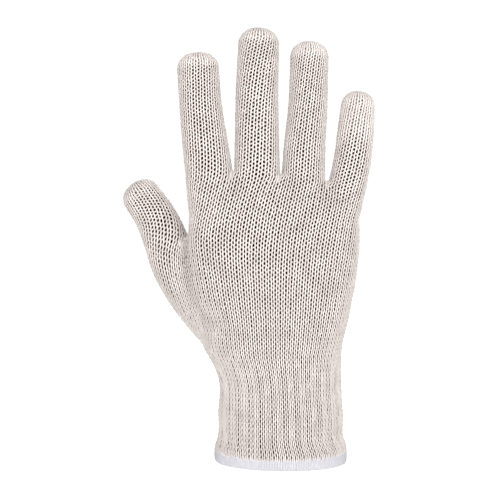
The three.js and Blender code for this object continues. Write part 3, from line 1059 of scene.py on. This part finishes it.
class GLOVE_OT_sew_hem(Operator):
    """Overlock the wrist's edge: a rounded band wrapped in close upright stitches"""

    bl_idname = "glove.sew_hem"
    bl_label = "Sew Hem"

    def execute(self, context):
        hem = context.scene.glove_hem
        turn = FULL_TURN * np.arange(HEM_STITCHES * HEM_STEPS) / HEM_STEPS
        bulge = np.sin(turn / 2) ** 2
        rng = random_numbers("hem")
        wobble = np.repeat(rng.normal(0, HEM_WOBBLE, HEM_STITCHES), HEM_STEPS) * bulge
        ragged = np.repeat(rng.normal(0, HEM_RAGGED, HEM_STITCHES), HEM_STEPS)
        aside = np.clip(rng.normal(0, HEM_ASIDE, HEM_STITCHES), -HEM_MOST_ASIDE, HEM_MOST_ASIDE)
        angle = math.pi + turn / HEM_STITCHES
        angle = angle + np.repeat(aside * FULL_TURN / HEM_STITCHES, HEM_STEPS) * bulge
        thread = hem.thread_depth / MM
        x, y = section_points(angle, 2.0)
        half_x = HEM_WIDTH / 2 - HEM_THICKNESS / 2
        half_y = HEM_DEPTH / 2 - HEM_THICKNESS / 2
        outward = unit(np.stack([x / half_x, y / half_y, 0 * x], axis=-1))
        across, up = section_points(turn, HEM_SQUARENESS)
        band = (HEM_THICKNESS - thread) / 2
        height = HEM_HEIGHT + HEM_OVERLAP
        rise = (height - thread) / 2
        middle = np.stack([TRUNK[0][1] + x * half_x, y * half_y, np.full_like(x, height / 2)], axis=-1)
        centres = middle + outward * (across * (band + wobble))[:, None]
        side_rise = np.where(x < 0, *HEM_SIDE_RISE) * np.abs(x) ** HEM_SIDE_POWER
        centres[:, 2] += up * (rise + wobble) + (ragged + side_rise) * np.maximum(up, 0) - HEM_LEAN * x
        away = unit(outward * across[:, None] + np.stack([0 * up, 0 * up, up], axis=-1))
        width = np.full((1, len(turn), 1), hem.thread_width / MM)
        flatness = hem.thread_depth / hem.thread_width
        stitches = strand_arrays(centres[None], away[None], width, True, flatness, HEM_SIDES)
        obj = mesh_object("cuff_hem_overlock", [stitches], [overlock_thread(hem)])
        finish_piece(obj, "hem_thread", "cuff_hem")
        return {"FINISHED"}


IMAGE_SIDE = 500
PHOTO_SCALE = 0.553  # millimetres of the glove for each pixel of the frame
FRAME_CENTRE = (-16.9, 0.0, 118.9)
SENSOR = 36.0

# The soft boxes and the floor, in metres
KEY_OFFSET = (0.05, -0.95, 0.5)
FILL_OFFSET = (0.0, 1.0, 0.4)
SOFT_BOX_WIDTH = 0.9
FLOOR_RADIUS = 6
FLOOR_GLOW = 0.62


def looking_back(offset):
    """The turn of a camera or a light that looks at the point it is offset from."""
    return (-offset).to_track_quat("-Z", "Y").to_euler()


def add_soft_box(name, aim, offset, power):
    """A round soft box that looks at the middle of the glove."""
    offset = Vector(offset)
    bpy.ops.object.light_add(type="AREA", location=aim + offset, rotation=looking_back(offset))
    light = bpy.context.object
    light.name = name
    light.data.shape = "DISK"
    light.data.size = SOFT_BOX_WIDTH
    light.data.energy = power


class GLOVE_OT_set_stage(Operator):
    """Add the camera, the soft lights, the white room and the pale floor"""

    bl_idname = "glove.set_stage"
    bl_label = "Set Stage"

    def execute(self, context):
        stage = context.scene.glove_stage
        aim = Vector(FRAME_CENTRE) * MM
        back = Vector((0, -math.cos(stage.camera_tilt), math.sin(stage.camera_tilt)))
        bpy.ops.object.camera_add(location=aim + back * stage.camera_distance, rotation=looking_back(back))
        camera = context.object
        half_frame = IMAGE_SIDE * PHOTO_SCALE * MM / 2
        camera.data.lens = SENSOR / 2 * stage.camera_distance / half_frame
        camera.data.sensor_width = SENSOR
        context.scene.camera = camera
        add_soft_box("key", aim, KEY_OFFSET, stage.key_strength)
        add_soft_box("fill", aim, FILL_OFFSET, stage.fill_strength)
        self.add_floor(context, stage)
        context.scene.world = self.white_room(stage)
        context.scene.view_settings.view_transform = "Standard"
        return {"FINISHED"}

    def white_room(self, stage):
        """White all round, but for the walls at both sides."""
        world = bpy.data.worlds.new("white_room")
        world.use_nodes = True
        tree = world.node_tree
        place = add_node(tree, "TexCoord").outputs["Generated"]
        axes = add_node(tree, "SeparateXYZ", {"Vector": place}).outputs
        side = add_node(tree, "MapRange", {"Value": axes["X"], "From Min": -1.0, "From Max": 1.0})
        walls = add_node(tree, "ValToRGB", {"Fac": side})
        stops = ((0.1, stage.left_wall), (0.43, WHITE), (0.57, WHITE), (0.94, stage.right_wall))
        set_stops(walls.color_ramp, "EASE", stops)
        # The room darkens towards its ceiling, so that fingertips aren't brighter than fingers
        upward = {"Value": axes["Z"], "From Min": 0.1, "From Max": 0.9}
        strengths = {"To Min": stage.surround, "To Max": stage.ceiling}
        overhead = add_node(tree, "MapRange", {**upward, **strengths})
        room = tree.nodes["Background"]
        set_inputs(tree, room, {"Color": walls, "Strength": overhead})
        # The camera sees a plain white backdrop in every direction
        seen = add_node(tree, "Background", {"Color": WHITE, "Strength": stage.backdrop})
        ray = add_node(tree, "LightPath").outputs["Is Camera Ray"]
        shown = add_node(tree, "MixShader", {0: ray, 1: room, 2: seen})
        set_inputs(tree, tree.nodes["World Output"], {"Surface": shown})
        return world

    def add_floor(self, context, stage):
        """A round matt white floor, lit a little from below."""
        bpy.ops.mesh.primitive_circle_add(
            vertices=96, radius=FLOOR_RADIUS, fill_type="NGON", location=(0, 0, -stage.floor_drop)
        )
        floor = context.object
        floor.name = "floor"
        bpy.ops.object.transform_apply(location=True, rotation=True, scale=True)
        material, tree, shader = new_material("white_light_table")
        place = add_node(tree, "TexCoord").outputs["Object"]
        grain = add_node(tree, "TexNoise", {"Vector": place, "Scale": 1 / (2 * MM)})
        bump = add_node(tree, "Bump", {"Height": grain, "Strength": 0.1, "Distance": 0.1 * MM})
        glow = {"Emission Color": WHITE, "Emission Strength": FLOOR_GLOW}
        surface = {"Base Color": stage.floor_colour[:], "Normal": bump, "Roughness": 0.9, **glow}
        set_inputs(tree, shader, surface)
        floor.data.materials.append(material)


class GLOVE_PT_sidebar(Panel):
    """The glove's sizes and colours, and the steps that make it"""

    bl_label = "String Knit Glove"
    bl_idname = "GLOVE_PT_sidebar"
    bl_space_type = "VIEW_3D"
    bl_region_type = "UI"
    bl_category = "Glove"

    def draw(self, context):
        layout = self.layout
        for group in (context.scene.glove_knit, context.scene.glove_hem, context.scene.glove_stage):
            box = layout.box()
            for name in group.__annotations__:
                box.prop(group, name)
        for operator in OPERATORS:
            layout.operator(operator.bl_idname)


OPERATORS = (
    GLOVE_OT_knit_stalls,
    GLOVE_OT_knit_palm,
    GLOVE_OT_knit_cuff,
    GLOVE_OT_sew_hem,
    GLOVE_OT_set_stage,
)
CLASSES = (GloveKnit, GloveHem, GloveStage, *OPERATORS, GLOVE_PT_sidebar)


def register():
    for item in CLASSES:
        bpy.utils.register_class(item)
    bpy.types.Scene.glove_knit = PointerProperty(type=GloveKnit)
    bpy.types.Scene.glove_hem = PointerProperty(type=GloveHem)
    bpy.types.Scene.glove_stage = PointerProperty(type=GloveStage)


def unregister():
    del bpy.types.Scene.glove_stage
    del bpy.types.Scene.glove_hem
    del bpy.types.Scene.glove_knit
    for item in reversed(CLASSES):
        bpy.utils.unregister_class(item)


def main():
    register()
    bpy.ops.object.select_all(action="DESELECT")
    bpy.ops.glove.knit_stalls()
    bpy.ops.glove.knit_palm()
    bpy.ops.glove.knit_cuff()
    bpy.ops.glove.sew_hem()
    bpy.ops.glove.set_stage()


if __name__ == "__main__":
    main()
